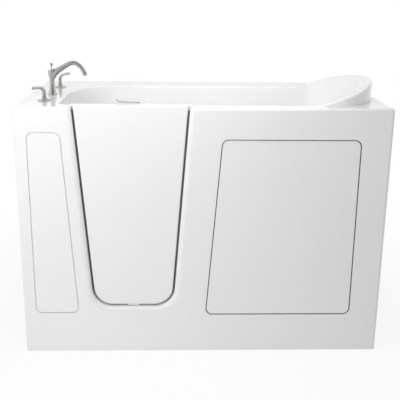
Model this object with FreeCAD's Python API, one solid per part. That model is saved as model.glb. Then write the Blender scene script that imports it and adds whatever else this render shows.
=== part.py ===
import FreeCAD, Part
import math
import os
from FreeCAD import Vector as V

os.makedirs("parts", exist_ok=True)

# Overall size, mm: the length is the tap deck, foot well, seat, backrest and end deck in a row
TAP_DECK = 164.0
FOOT_WELL = 638.0
SEAT_LEN = 451.0
BACK_LEAN = 230.0
HEAD_LIP = 17.0
END_DECK = 24.0
LENGTH = TAP_DECK + FOOT_WELL + SEAT_LEN + BACK_LEAN + HEAD_LIP + END_DECK
WIDTH = 813.0
DECK_Z = 1067.0
WALL = 8.0
FRONT = -WIDTH / 2
BACK = WIDTH / 2
LEFT = -LENGTH / 2
RIGHT = LENGTH / 2

# Deck tray and apron
EDGE_R = 13.0
CORNER_R = 14.0
LIP_DEPTH = 60.0
RAIL = 16.0
APRON_GAP = 2.0
RETURN_DEPTH = 60.0

# Basin
RIM_R = 9.0
BASIN_LEFT = LEFT + TAP_DECK
BASIN_FRONT = FRONT + 70.0
BASIN_BACK = BACK - 168.0
MID_Y = (BASIN_FRONT + BASIN_BACK) / 2
BASIN_HALF = (BASIN_BACK - BASIN_FRONT) / 2
FLOOR_Z = 130.0
SEAT_Z = 520.0
NOSE_X = BASIN_LEFT + FOOT_WELL
BACK_X = NOSE_X + SEAT_LEN
CORNER_FRONT_R = 62.0
END_A = 167.0
RISER_R = 45.0
FLOOR_R = 38.0
SEAT_R = 45.0
NOSE_R = 26.0

# Headrest
HEAD_APEX = RIGHT - END_DECK
HEAD_A = 200.0
HEAD_EDGE_R = 7.5
HEAD_B = BASIN_HALF + HEAD_LIP
HEAD_RUN = 273.0
HEAD_FOOT_X = HEAD_APEX - HEAD_RUN
HEAD_SLOPE = 0.312
HEAD_BLEND = 260.0
HEAD_A_IN = HEAD_A - 10.0
HEAD_RISE = HEAD_SLOPE * HEAD_RUN
RECLINE = math.atan(BACK_LEAN / (DECK_Z + HEAD_RISE - SEAT_Z))

# Door opening: a trapezoid with a round-cornered foot
DOOR_X = BASIN_LEFT + 302.0
DOOR_HALF = 237.5
DOOR_TAPER = 0.0787
DOOR_SILL = 203.0
DOOR_FOOT_R = 88.0
FLARE = 22.0
LIP_Y = FRONT + 34.0
RABBET = 12.0
FRAME_W = 42.0
DOOR_GAP = 8.0
DOOR_EDGE_R = 6.0
DOOR_TOP = DECK_Z + 3.0
DOOR_FACE_Y = FRONT + 22.0
FLANGE_Y = FRONT + 40.0
LINER_Y = BASIN_FRONT + 4.0
SKIN = 5.0

# Door hinge and latch
HINGE_X = DOOR_X - DOOR_HALF - 14.5
HINGE_Y = BASIN_FRONT + 27.0
HINGE_R = 6.0
RUN_FIT = 0.05
STRAP_H = 36.0
STRAP_ZS = (330.0, 930.0)
LATCH_X = DOOR_X + 198.0
LATCH_Z = DECK_Z - 28.0
LATCH_R = 6.0

# Access panels
GROOVE = 4.0
PANEL_T = 6.0
PANEL_R = 27.0
PANEL_FOOT = 183.0
PANEL_HEAD = 965.0
PANEL_SIDE = 52.0
PANEL_DOOR_FOOT = 64.6
PANEL_DOOR_HEAD = 52.5
WIDE_PANEL_FOOT = 172.5
WIDE_PANEL_HEAD = 938.0
WIDE_PANEL_SIDE = 127.5
WIDE_PANEL_DOOR = 141.25
WIDE_PANEL_IN = 2.5
LEDGE = 16.0

# Faucet
TAP_X = LEFT + 103.0
TAP_YS = (FRONT + 158.0, FRONT + 572.0)
SPOUT_Y = FRONT + 325.0
LEVER_TURN = 57.0
TAP_HOLE = 16.0
VALVE_STEM_R = 5.0
INLET_R = 10.45
LIFT_R = 2.5
CONTROL_Z = DECK_Z - 85.0
CONTROL_HOLE = 17.0

# Water jets
JET_X = (NOSE_X + 70.0, BACK_X - 231.0)
JET_Z = SEAT_Z + 160.0
CALF_Z = 330.0
CALF_DY = 130.0
JET_PORT = 26.0
WATER_R = 14.0
AIR_R = 7.0
BUTTON_R = 13.0

# Pump
PUMP_Z = 215.0
PUMP_X = NOSE_X + 175.0
SHAFT_R = 8.0
GLAND_R = 6.0

# Drain
DRAIN_X = BASIN_LEFT + 128.0
OVERFLOW_Z = DECK_Z - 137.0
OVERFLOW_HOLE = 20.0
DRAIN_HOLE = 25.0
STOPPER_R = 4.0
TAIL_R = 19.05
PIPE_R = 16.0

# Frame
TUBE = 30.0
TUBE_T = 2.5
RAIL_TOP = FLOOR_Z - WALL
RAIL_YS = (BASIN_FRONT + 36.5, BASIN_BACK - 36.5)
POST_X = RIGHT - 37.0
POST_YS = (FRONT + 45.0, BACK - 35.0)
SEAT_RAIL_XS = (NOSE_X + 100.0, BACK_X - 91.0)
CROSS_X = NOSE_X + 45.0
FOOT_IN = 33.0
FOOT_XS = (FOOT_IN - POST_X, 0.0, POST_X - FOOT_IN)
STUD_R = 8.0


def box(x0, x1, y0, y1, z0, z1):
    return Part.makeBox(x1 - x0, y1 - y0, z1 - z0, V(x0, y0, z0))


def rod(p, q, r):
    a = V(*p)
    d = V(*q) - a
    return Part.makeCylinder(r, d.Length, a, d)


def ring(p, q, r, bore):
    return rod(p, q, r).cut(rod(p, q, bore))


def fuse(items):
    if len(items) == 1:
        return items[0]
    return items[0].multiFuse(items[1:]).removeSplitter()


def pipe_run(points, r, joint=1.0):
    items = [rod(a, b, r) for a, b in zip(points, points[1:])]
    items += [Part.makeSphere(r * joint, V(*p)) for p in points[1:-1]]
    return items


def turned(profile, pos, axis):
    wire = Part.makePolygon([V(r, 0, z) for r, z in profile] + [V(profile[0][0], 0, profile[0][1])])
    solid = Part.Face(wire).revolve(V(0, 0, 0), V(0, 0, 1), 360)
    return placed(solid, pos, axis)


def placed(shape, pos, axis):
    out = shape.copy()
    out.Placement = FreeCAD.Placement(V(*pos), FreeCAD.Rotation(V(0, 0, 1), V(*axis)))
    return out


def near(a, b, tol=0.05):
    return abs(a - b) < tol


def samples(e):
    if e.Length < 0.5:
        return [v.Point for v in e.Vertexes]
    a, b = e.ParameterRange
    return [e.valueAt(a + (b - a) * i / 6.0) for i in range(7)]


def pick(shape, test):
    return [e for e in shape.Edges if all(test(p) for p in samples(e))]


def save(name, shape):
    solids = shape.Solids
    out = solids[0] if len(solids) == 1 else Part.makeCompound(solids)
    if not out.isValid():
        print("not valid:", name)
    out.exportStep("parts/" + name + ".step")
    print(name, len(solids), round(out.Volume / 1000.0, 1))


def half_ellipse(xc, a, b, z):
    ellipse = Part.Ellipse(V(xc, MID_Y + b, z), V(xc + a, MID_Y, z), V(xc, MID_Y, z))
    arc = Part.ArcOfEllipse(ellipse, 0.0, math.pi).toShape()
    if samples(arc)[3].x < xc:
        arc = Part.ArcOfEllipse(ellipse, math.pi, 2 * math.pi).toShape()
    return arc


# Foot well: a pit with a rounded floor edge and a long elliptic curve at the back of its tap end,
# grown outwards by g for the outer skin
def foot_well(g):
    x0 = BASIN_LEFT - g
    x1 = NOSE_X + g
    y0 = BASIN_FRONT - g
    y1 = BASIN_BACK + g
    rf = CORNER_FRONT_R + g
    a = END_A + g
    b = BASIN_HALF + g
    rr = RISER_R + g
    s = math.sqrt(0.5)
    z = FLOOR_Z - g

    def p(x, y):
        return V(x, y, z)

    end = Part.Ellipse(p(x0 + a, y1), p(x0, MID_Y), p(x0 + a, MID_Y))
    edges = [
        Part.makeLine(p(x0 + rf, y0), p(x1 - rr, y0)),
        Part.Arc(p(x1 - rr, y0), p(x1 - rr + rr * s, y0 + rr - rr * s), p(x1, y0 + rr)).toShape(),
        Part.makeLine(p(x1, y0 + rr), p(x1, y1 - rr)),
        Part.Arc(p(x1, y1 - rr), p(x1 - rr + rr * s, y1 - rr + rr * s), p(x1 - rr, y1)).toShape(),
        Part.makeLine(p(x1 - rr, y1), p(x0 + a, y1)),
        Part.ArcOfEllipse(end, 0.0, math.pi / 2).toShape(),
        Part.makeLine(p(x0, MID_Y), p(x0, y0 + rf)),
        Part.Arc(p(x0, y0 + rf), p(x0 + rf - rf * s, y0 + rf - rf * s), p(x0 + rf, y0)).toShape(),
    ]
    solid = Part.Face(Part.Wire(edges)).extrude(V(0, 0, DECK_Z + 150.0 - z))
    return solid.makeFillet(FLOOR_R + g, pick(solid, lambda q: near(q.z, z)))


# Space over the seat, leaning back as it rises, with a half-ellipse end
def bathing_space(g):
    z = SEAT_Z - g
    top = DECK_Z + 150.0
    t = math.tan(RECLINE)
    xc = BACK_X - HEAD_A_IN - g * t
    a = HEAD_A_IN + g
    b = BASIN_HALF + g
    x0 = NOSE_X - 470.0
    y0 = MID_Y - b
    y1 = MID_Y + b
    arc = half_ellipse(xc, a, b, z)
    wire = Part.Wire(Part.__sortEdges__([
        Part.makeLine(V(x0, y0, z), V(xc, y0, z)),
        arc,
        Part.makeLine(V(xc, y1, z), V(x0, y1, z)),
        Part.makeLine(V(x0, y1, z), V(x0, y0, z)),
    ]))
    solid = Part.Face(wire).extrude(V(t * (top - z), 0, top - z))
    edges = [e for e in pick(solid, lambda q: near(q.z, z)) if not near(e.CenterOfMass.x, x0, 1.0)]
    return solid.makeFillet(SEAT_R + g, edges)


def basin(g):
    core = foot_well(g).fuse(bathing_space(g)).removeSplitter()
    core = core.Solids[0]
    nose = pick(core, lambda q: near(q.x, NOSE_X + g) and near(q.z, SEAT_Z - g))
    return core.makeFillet(NOSE_R - g, nose)


# Headrest: an upright half-ellipse wall under a sloping top that grows out of the deck
def headrest(g, base, drop):
    xc = HEAD_APEX - HEAD_A
    a = HEAD_A - g
    b = HEAD_B - g
    x0 = HEAD_FOOT_X - 90.0
    arc = half_ellipse(xc, a, b, base)
    wire = Part.Wire(Part.__sortEdges__([
        Part.makeLine(V(x0, MID_Y - b, base), V(xc, MID_Y - b, base)),
        arc,
        Part.makeLine(V(xc, MID_Y + b, base), V(x0, MID_Y + b, base)),
        Part.makeLine(V(x0, MID_Y + b, base), V(x0, MID_Y - b, base)),
    ]))
    plan = Part.Face(wire).extrude(V(0, 0, DECK_Z + HEAD_RISE + 40.0 - base))
    ang = math.atan(HEAD_SLOPE)
    s = HEAD_FOOT_X - HEAD_BLEND * math.tan(ang / 2)
    top = DECK_Z - drop

    def p(x, z):
        return V(x, FRONT, z)

    arc_mid = p(s + HEAD_BLEND * math.sin(ang / 2), top + HEAD_BLEND * (1 - math.cos(ang / 2)))
    arc_end = p(s + HEAD_BLEND * math.sin(ang), top + HEAD_BLEND * (1 - math.cos(ang)))
    far = p(RIGHT, top + HEAD_SLOPE * (RIGHT - HEAD_FOOT_X))
    side = Part.Wire([
        Part.makeLine(p(x0 - 10.0, base - 1.0), p(x0 - 10.0, top)),
        Part.makeLine(p(x0 - 10.0, top), p(s, top)),
        Part.Arc(p(s, top), arc_mid, arc_end).toShape(),
        Part.makeLine(arc_end, far),
        Part.makeLine(far, p(RIGHT, base - 1.0)),
        Part.makeLine(p(RIGHT, base - 1.0), p(x0 - 10.0, base - 1.0)),
    ])
    return plan.common(Part.Face(side).extrude(V(0, WIDTH, 0)))


def head_top(x):
    ang = math.atan(HEAD_SLOPE)
    s = HEAD_FOOT_X - HEAD_BLEND * math.tan(ang / 2)
    if x <= s:
        return DECK_Z
    if x >= s + HEAD_BLEND * math.sin(ang):
        return DECK_Z + HEAD_SLOPE * (x - HEAD_FOOT_X)
    return DECK_Z + HEAD_BLEND - math.sqrt(HEAD_BLEND ** 2 - (x - s) ** 2)


# Door outline grown by off, standing in the plane y and open at the top
def door_half(z, off):
    return DOOR_HALF + DOOR_TAPER * (z - DECK_Z) + off * math.sqrt(1 + DOOR_TAPER ** 2)


def door_outline(off, y0, y1, top):
    zb = DOOR_SILL - off
    r = DOOR_FOOT_R + off
    ang = math.atan(DOOR_TAPER)
    cut = r / math.tan((math.pi / 2 + ang) / 2)
    hb = door_half(zb, off)
    ht = door_half(top, off)

    def p(x, z):
        return V(DOOR_X + x, y0, z)

    def corner(sign):
        flat = p(sign * (hb - cut), zb)
        side = p(sign * (hb + cut * math.sin(ang)), zb + cut * math.cos(ang))
        centre = p(sign * (hb - cut), zb + r)
        toward = p(sign * hb, zb) - centre
        mid = centre + toward * (r / toward.Length)
        return flat, mid, side

    fr, mr, sr = corner(1)
    fl, ml, sl = corner(-1)
    wire = Part.Wire([
        Part.makeLine(fl, fr),
        Part.Arc(fr, mr, sr).toShape(),
        Part.makeLine(sr, p(ht, top)),
        Part.makeLine(p(ht, top), p(-ht, top)),
        Part.makeLine(p(-ht, top), sl),
        Part.Arc(sl, ml, fl).toShape(),
    ])
    return Part.Face(wire).extrude(V(0, y1 - y0, 0))


def door_cutter():
    top = DECK_Z + 60.0
    wide = DOOR_HALF + 100.0
    block = box(DOOR_X - wide, DOOR_X + wide, FRONT, FRONT + FLARE, DOOR_SILL - 93.0, top)
    plate = block.cut(door_outline(0.0, FRONT - 1.0, FRONT + FLARE + 1.0, top + 1.0))

    def on_front(q):
        inside = abs(q.x - DOOR_X) < wide - 30.0 and q.z > DOOR_SILL - 1.0 and q.z < top + 0.1
        return near(q.y, FRONT) and inside

    rim = [e for e in pick(plate, on_front) if e.CenterOfMass.z < top - 1.0]
    plate = plate.makeFillet(FLARE - 0.5, rim)
    return fuse([
        block.cut(plate),
        door_outline(0.0, FRONT + FLARE, LIP_Y, top),
        door_outline(RABBET, LIP_Y, BASIN_FRONT + 30.0, top),
    ])


# Access panel outline: one upright side and one side parallel to the door
def panel_outline(corners, off, y0, y1, r):
    pts = [V(x, y0, z) for x, z in corners]
    n = len(pts)
    lines = []
    for i in range(n):
        a = pts[i]
        b = pts[(i + 1) % n]
        d = (b - a).normalize()
        out = V(d.z, 0, -d.x)
        lines.append((a + out * off, d))
    moved = []
    for i in range(n):
        a, d = lines[i - 1]
        b, e = lines[i]
        k = ((b.x - a.x) * e.z - (b.z - a.z) * e.x) / (d.x * e.z - d.z * e.x)
        moved.append(a + d * k)
    face = Part.Face(Part.makePolygon(moved + [moved[0]]))
    solid = face.extrude(V(0, y1 - y0, 0))
    corner_edges = [e for e in solid.Edges if near(e.BoundBox.YLength, abs(y1 - y0))]
    return solid.makeFillet(r + off, corner_edges)


def beside_door(side, z, gap):
    return DOOR_X + side * (DOOR_HALF - DOOR_TAPER * (DECK_Z - z) + gap), z


LEFT_PANEL = [
    (LEFT + PANEL_SIDE, PANEL_FOOT),
    beside_door(-1, PANEL_FOOT, PANEL_DOOR_FOOT),
    beside_door(-1, PANEL_HEAD, PANEL_DOOR_HEAD),
    (LEFT + PANEL_SIDE, PANEL_HEAD),
]
RIGHT_PANEL = [
    beside_door(1, WIDE_PANEL_FOOT, WIDE_PANEL_DOOR),
    (RIGHT - WIDE_PANEL_SIDE, WIDE_PANEL_FOOT),
    (RIGHT - WIDE_PANEL_SIDE, WIDE_PANEL_HEAD),
    beside_door(1, WIDE_PANEL_HEAD, WIDE_PANEL_DOOR),
]


def box_edges_z(shape, x, y):
    return [e for e in shape.Edges if all(near(v.X, x) and near(v.Y, y) for v in e.Vertexes)]


# Tub shell: deck, basin and headrest moulded as one skin
inner = basin(0.0)
outer = basin(WALL)
cutter = door_cutter()

tray = box(LEFT, RIGHT, FRONT, BACK, DECK_Z - LIP_DEPTH, DECK_Z)
tray = tray.makeFillet(CORNER_R, [e for e in tray.Edges if near(e.Length, LIP_DEPTH)])
tray = tray.makeFillet(EDGE_R, pick(tray, lambda q: near(q.z, DECK_Z)))
low = DECK_Z - LIP_DEPTH - 1.0
tray = tray.cut(box(LEFT + WALL, RIGHT - WALL, FRONT + WALL, BACK - WALL, low, DECK_Z - WALL))
tray = tray.cut(box(LEFT, RIGHT, FRONT, FRONT + WALL, low, DECK_Z - RAIL))


def on_head_edge(e):
    pts = samples(e)
    on_top = e.Length > 0.5 and all(near(q.z, head_top(q.x), 0.3) for q in pts)
    across = abs(pts[3].y - MID_Y) < HEAD_B - 1.0 and pts[3].x < HEAD_APEX - HEAD_A
    return on_top and not across


def on_rim(e):
    for q in samples(e):
        if not near(q.z, head_top(q.x), 0.3) or q.y < BASIN_FRONT - 0.1 or q.y > BASIN_BACK + 0.1:
            return False
        if inner.distToShape(Part.Vertex(q))[0] > 0.05:
            return False
    return e.Length > 0.5


head = headrest(0.0, DECK_Z - WALL, 0.0)
head = head.makeFillet(HEAD_EDGE_R, [e for e in head.Edges if on_head_edge(e)])
below_deck = box(LEFT, RIGHT, FRONT, BACK, 0.0, DECK_Z - WALL / 2)
shell = fuse([tray, outer.common(below_deck), head]).cut(inner)
shell = shell.cut(headrest(WALL, DECK_Z - 2 * WALL, WALL + 2.0).cut(outer))
shell = shell.makeFillet(RIM_R, [e for e in shell.Edges if on_rim(e)])
shell = shell.cut(cutter)

# Wall fittings: places (point on the basin's inner face, direction into the basin)
JETS = [((x, BASIN_FRONT, JET_Z), (0, 1, 0)) for x in JET_X]
JETS += [((x, BASIN_BACK, JET_Z), (0, -1, 0)) for x in JET_X]
JETS += [((NOSE_X, MID_Y + dy, CALF_Z), (-1, 0, 0)) for dy in (-CALF_DY, CALF_DY)]
JET_HOLE = 26.5
SUCTION_HOLE = 28.5
BUTTON_AT = ((JET_X[0], BASIN_FRONT, CONTROL_Z), (0, 1, 0))
AIR_AT = ((JET_X[1], BASIN_FRONT, CONTROL_Z), (0, 1, 0))
SUCTION_AT = ((NOSE_X, MID_Y, PUMP_Z), (-1, 0, 0))
OVERFLOW_AT = ((BASIN_LEFT, MID_Y, OVERFLOW_Z), (1, 0, 0))
DRAIN_AT = ((DRAIN_X, MID_Y, FLOOR_Z), (0, 0, 1))


def at(place, z0, z1, r):
    pos, axis = place
    return placed(Part.makeCylinder(r, z1 - z0, V(0, 0, z0)), pos, axis)


def turned_at(place, profile):
    pos, axis = place
    return turned(profile, pos, axis)


holes = [at(j, -2 * WALL, 2 * WALL, JET_HOLE) for j in JETS]
holes.append(at(BUTTON_AT, -2 * WALL, 2 * WALL, CONTROL_HOLE))
holes.append(at(AIR_AT, -2 * WALL, 2 * WALL, CONTROL_HOLE))
holes.append(at(SUCTION_AT, -2 * WALL, 2 * WALL, SUCTION_HOLE))
holes.append(at(OVERFLOW_AT, -2 * WALL, 2 * WALL, OVERFLOW_HOLE))
holes.append(at(DRAIN_AT, -2 * WALL, 2 * WALL, DRAIN_HOLE))
for y in TAP_YS + (SPOUT_Y,):
    holes.append(rod((TAP_X, y, DECK_Z - 2 * WALL), (TAP_X, y, DECK_Z + WALL), TAP_HOLE))
shell = shell.cut(Part.makeCompound(holes))
save("tub_shell", shell)

# Front apron: a flat skirt with short end returns, ledged panel openings and the door opening
apron = box(LEFT, RIGHT, FRONT, FRONT + RETURN_DEPTH, APRON_GAP, DECK_Z - RAIL)
apron = apron.makeFillet(CORNER_R, box_edges_z(apron, LEFT, FRONT) + box_edges_z(apron, RIGHT, FRONT))
apron = apron.cut(box(LEFT + WALL, RIGHT - WALL, FRONT + WALL, BACK, 0.0, DECK_Z))
apron = apron.cut(box(LEFT, RIGHT, FRONT + WALL, BACK, DECK_Z - LIP_DEPTH, DECK_Z))
apron = apron.cut(door_outline(FLARE + 2.0, FRONT - 1.0, FRONT + WALL + 1.0, DECK_Z))
for corners in (LEFT_PANEL, RIGHT_PANEL):
    back_ring = panel_outline(corners, LEDGE, FRONT + WALL, FRONT + WALL + 4.0, PANEL_R)
    apron = apron.fuse(back_ring.cut(door_outline(FRAME_W, FRONT, BASIN_FRONT, DECK_Z)))
    apron = apron.cut(panel_outline(corners, GROOVE / 2, FRONT - 1.0, FRONT + PANEL_T, PANEL_R))
    apron = apron.cut(panel_outline(corners, -LEDGE, FRONT - 1.0, FRONT + WALL + 5.0, PANEL_R))
save("front_apron", apron.removeSplitter())

# Door frame: the moulded jamb and sill between the apron and the basin wall
frame = door_outline(FRAME_W, FRONT + WALL, BASIN_FRONT - WALL, DECK_Z - WALL)
frame = frame.fuse(door_outline(FLARE + 2.0, FRONT, FRONT + WALL, DECK_Z - RAIL))
save("door_frame", frame.cut(cutter).removeSplitter())

# Access panels and the spring clips that hold them on the ledge
for name, corners, inset in (
    ("left_access_panel", LEFT_PANEL, 0.0), ("right_access_panel", RIGHT_PANEL, WIDE_PANEL_IN),
):
    face_y = FRONT + inset
    panel = panel_outline(corners, -GROOVE / 2, face_y, FRONT + PANEL_T, PANEL_R)
    panel = panel.makeFillet(1.5, pick(panel, lambda q: near(q.y, face_y)))
    save(name, panel)

clips = []
for corners in (LEFT_PANEL, RIGHT_PANEL):
    z0 = corners[0][1] + LEDGE
    z1 = corners[2][1] - LEDGE
    for z, d in ((z0, -1.0), (z1, 1.0)):
        for k in (0.25, 0.75):
            x = (corners[0][0] if z == z0 else corners[3][0])
            span = corners[1][0] - corners[0][0] if z == z0 else corners[2][0] - corners[3][0]
            x += k * span
            stem_z = z - d * 2.5
            stem = box(x - 9.0, x + 9.0, FRONT + PANEL_T, FRONT + WALL + 9.0, stem_z - 2.0, stem_z + 2.0)
            hook = box(x - 9.0, x + 9.0, FRONT + WALL + 4.0, FRONT + WALL + 9.0, z - 4.5, z + 4.5)
            clips.append(fuse([stem, hook]))
save("panel_clips", Part.makeCompound(clips))

# Door: outer moulding, stiffening core, inner moulding and perimeter gasket
skin = door_outline(-DOOR_GAP, DOOR_FACE_Y, FLANGE_Y, DOOR_TOP)
tab = box(DOOR_X - 24.0, DOOR_X + 24.0, DOOR_FACE_Y + 4.0, LIP_Y, DOOR_SILL + 3.0, DOOR_SILL + 20.0)
skin = skin.makeFillet(DOOR_EDGE_R, pick(skin, lambda q: near(q.y, DOOR_FACE_Y)))
tab_ends = [e for e in tab.Edges if near(e.Length, LIP_Y - DOOR_FACE_Y - 4.0)]
skin = skin.fuse(tab.makeFillet(2.5, tab_ends))
pocket = door_outline(-DOOR_GAP - SKIN, DOOR_FACE_Y + SKIN, FLANGE_Y + 1.0, DOOR_TOP - SKIN)
save("door_skin", skin.cut(pocket).removeSplitter())

liner = door_outline(DOOR_GAP, FLANGE_Y, LINER_Y, DOOR_TOP)
liner = liner.makeFillet(5.0, pick(liner, lambda q: near(q.y, LINER_Y)))
well = door_outline(-DOOR_GAP, FLANGE_Y - 1.0, LINER_Y - SKIN, DOOR_TOP - SKIN)
hole_ends = ((LATCH_X, LINER_Y - SKIN - 1.0, LATCH_Z), (LATCH_X, LINER_Y + 1.0, LATCH_Z))
spindle_hole = rod(*hole_ends, LATCH_R + RUN_FIT)
save("door_liner", liner.cut(well).cut(spindle_hole))

core = door_outline(-DOOR_GAP - SKIN, DOOR_FACE_Y + SKIN, FLANGE_Y, DOOR_TOP - SKIN)
core = core.fuse(door_outline(-DOOR_GAP, FLANGE_Y, LINER_Y - SKIN, DOOR_TOP - SKIN))
latch_well = rod((LATCH_X, LINER_Y - SKIN - 14.0, LATCH_Z), (LATCH_X, LINER_Y, LATCH_Z), 14.0)
save("door_core", core.cut(latch_well).removeSplitter())

gasket = door_outline(DOOR_GAP, LIP_Y + 0.2, FLANGE_Y, DECK_Z - RAIL)
save("door_gasket", gasket.cut(door_outline(-DOOR_GAP, LIP_Y - 1.0, FLANGE_Y + 1.0, DECK_Z)))

# Door hinge: a fixed upright rod in corner brackets, with straps on the door that turn on it
rod_low = STRAP_ZS[0] - STRAP_H / 2 - 34.0
rod_high = STRAP_ZS[1] + STRAP_H / 2 + 34.0
hinge_rod = rod((HINGE_X, HINGE_Y, rod_low), (HINGE_X, HINGE_Y, rod_high), HINGE_R)
save("hinge_rod", hinge_rod)
brackets = []
for z in STRAP_ZS:
    for d in (-1, 1):
        zc = z + d * (STRAP_H / 2 + 15.0)
        block = box(BASIN_LEFT - 5.0, HINGE_X + 8.0, BASIN_FRONT - 5.0, HINGE_Y + 9.0, zc - 13.0, zc + 13.0)
        block = block.common(inner)
        brackets.append(block.cut(hinge_rod))
save("hinge_brackets", Part.makeCompound(brackets))
straps = []
for z in STRAP_ZS:
    edge = DOOR_X - door_half(z, DOOR_GAP)
    x0 = HINGE_X + 15.0
    x1 = edge + 80.0
    outline = [
        (x0, LINER_Y + 0.2), (edge, LINER_Y + 0.2), (edge, LINER_Y), (x1, LINER_Y), (x1, LINER_Y + 4.0),
        (x0 + 6.0, LINER_Y + 4.0), (HINGE_X + 8.0, HINGE_Y + 5.0), (HINGE_X - 8.5, HINGE_Y - 5.5),
    ]
    pts = [V(x, y, z - STRAP_H / 2) for x, y in outline]
    plate = Part.Face(Part.makePolygon(pts + [pts[0]])).extrude(V(0, 0, STRAP_H))
    barrel = rod((HINGE_X, HINGE_Y, z - STRAP_H / 2), (HINGE_X, HINGE_Y, z + STRAP_H / 2), 10.0)
    bore = rod((HINGE_X, HINGE_Y, z - STRAP_H), (HINGE_X, HINGE_Y, z + STRAP_H), HINGE_R + RUN_FIT)
    straps.append(fuse([plate, barrel]).cut(bore))
save("hinge_straps", Part.makeCompound(straps))
screws = []
for z in STRAP_ZS:
    edge = DOOR_X - door_half(z, DOOR_GAP)
    for dx in (30.0, 60.0):
        screws.append(rod((edge + dx, LINER_Y + 4.0, z), (edge + dx, LINER_Y + 6.5, z), 6.0))
save("strap_screws", Part.makeCompound(screws))

# Door latch: a lever on the inside with a dog that turns under the keeper
def upright(y, depth, points):
    at_latch = [V(LATCH_X + x, y, LATCH_Z + z) for x, z in points]
    return Part.Face(Part.makePolygon(at_latch + [at_latch[0]])).extrude(V(0, depth, 0))


y0 = LINER_Y
spindle = rod((LATCH_X, y0 - SKIN - 6.0, LATCH_Z), (LATCH_X, y0 + 20.0, LATCH_Z), LATCH_R)
stop = rod((LATCH_X, y0 - SKIN - 6.0, LATCH_Z), (LATCH_X, y0 - SKIN - 0.5, LATCH_Z), 11.0)
hub = rod((LATCH_X, y0 + 0.4, LATCH_Z), (LATCH_X, y0 + 22.0, LATCH_Z), 12.0)
dog = box(LATCH_X - 8.0, LATCH_X + 8.0, y0 + 4.5, y0 + 9.5, LATCH_Z - 62.0, LATCH_Z)
dog_tip = [e for e in dog.Edges if near(e.CenterOfMass.z, LATCH_Z - 62.0) and near(e.Length, 5.0)]
dog = dog.makeFillet(5.0, dog_tip)
arm = upright(y0 + 13.0, 8.0, [(8, -8), (8, 8), (-166, 34.5), (-166, 30), (-60, 8)])
grip = upright(y0 + 12.5, 9.0, [
    (-164, 29.5), (-164, 35), (-247, 39.5), (-255, 46), (-259, 44), (-256, 37.5), (-249, 34),
])
tip = [e for e in grip.Edges if near(e.Length, 9.0) and e.CenterOfMass.z > LATCH_Z + 43.5]
grip = grip.makeFillet(1.6, tip)
save("latch_lever", fuse([spindle, stop, hub, dog, arm, grip]))
kx = DOOR_X + door_half(LATCH_Z, RABBET)
foot = box(kx + 28.0, kx + 46.0, BASIN_FRONT, BASIN_FRONT + 3.0, LATCH_Z - 18.0, LATCH_Z + 14.0)
web = box(kx + 28.0, kx + 31.0, BASIN_FRONT, BASIN_FRONT + 18.0, LATCH_Z - 18.0, LATCH_Z + 14.0)
lip = box(kx + 4.0, kx + 31.0, BASIN_FRONT + 15.0, BASIN_FRONT + 18.0, LATCH_Z - 18.0, LATCH_Z + 14.0)
save("latch_keeper", fuse([foot, web, lip]))

# Faucet: two lever valves and an arched spout with a lift rod
base_profile = [(0, 0), (27.5, 0), (27.5, 2.5), (24.5, 5), (16, 7), (10.5, 10), (10.5, 14), (0, 14)]
bases = []
for y in TAP_YS:
    stem_hole = rod((TAP_X, y, DECK_Z), (TAP_X, y, DECK_Z + 20.0), VALVE_STEM_R + RUN_FIT)
    bases.append(turned(base_profile, (TAP_X, y, DECK_Z), (0, 0, 1)).cut(stem_hole))
save("handle_bases", Part.makeCompound(bases))


def circle_at(x, z, dx, dz, r):
    return Part.Wire([Part.makeCircle(r, V(x, 0, z), V(dx, 0, dz))])


def lever_handle(y, turn):
    z = DECK_Z + 14.3
    neck = turned([(0, 0), (10.5, 0), (8.5, 10), (7.8, 22), (0, 22)], (0, 0, 0), (0, 0, 1))
    stations = [
        (0.0, 20.0, 0.0, 1.0, 8.2), (2.0, 28.0, 0.4, 1.0, 7.6), (9.0, 36.0, 1.0, 0.8, 7.1),
        (23.0, 41.5, 1.0, 0.25, 6.5), (43.0, 43.5, 1.0, 0.05, 5.9), (64.0, 43.0, 1.0, -0.05, 6.0),
    ]
    blade = Part.makeLoft([circle_at(*st) for st in stations], True, False)
    knob = Part.makeSphere(6.6, V(62.5, 0, 43.0))
    spindle = rod((0, 0, -44.3), (0, 0, 5.0), VALVE_STEM_R)
    handle = fuse([neck, blade, knob, spindle])
    handle.Placement = FreeCAD.Placement(V(TAP_X, y, z), FreeCAD.Rotation(V(0, 0, 1), turn))
    return handle


save("front_tap_lever", lever_handle(TAP_YS[0], LEVER_TURN + 180.0))
save("rear_tap_lever", lever_handle(TAP_YS[1], LEVER_TURN))
valves = []
nuts = []
for y in TAP_YS:
    body = rod((TAP_X, y, DECK_Z - 95.0), (TAP_X, y, DECK_Z), 15.0)
    body = body.fuse(rod((TAP_X, y, DECK_Z - 100.0), (TAP_X, y, DECK_Z - 62.0), 20.0))
    body = body.fuse(rod((TAP_X, y, DECK_Z - 145.0), (TAP_X, y, DECK_Z - 100.0), INLET_R))
    d = 1.0 if y < SPOUT_Y else -1.0
    body = body.fuse(rod((TAP_X, y, DECK_Z - 81.0), (TAP_X, y + d * 34.0, DECK_Z - 81.0), 9.0))
    body = body.cut(rod((TAP_X, y, DECK_Z - 40.0), (TAP_X, y, DECK_Z + 1.0), VALVE_STEM_R + RUN_FIT))
    valves.append(body.removeSplitter())
    nuts.append(ring((TAP_X, y, DECK_Z - WALL - 10.0), (TAP_X, y, DECK_Z - WALL), 24.0, 15.0))
save("valve_bodies", Part.makeCompound(valves))

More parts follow.
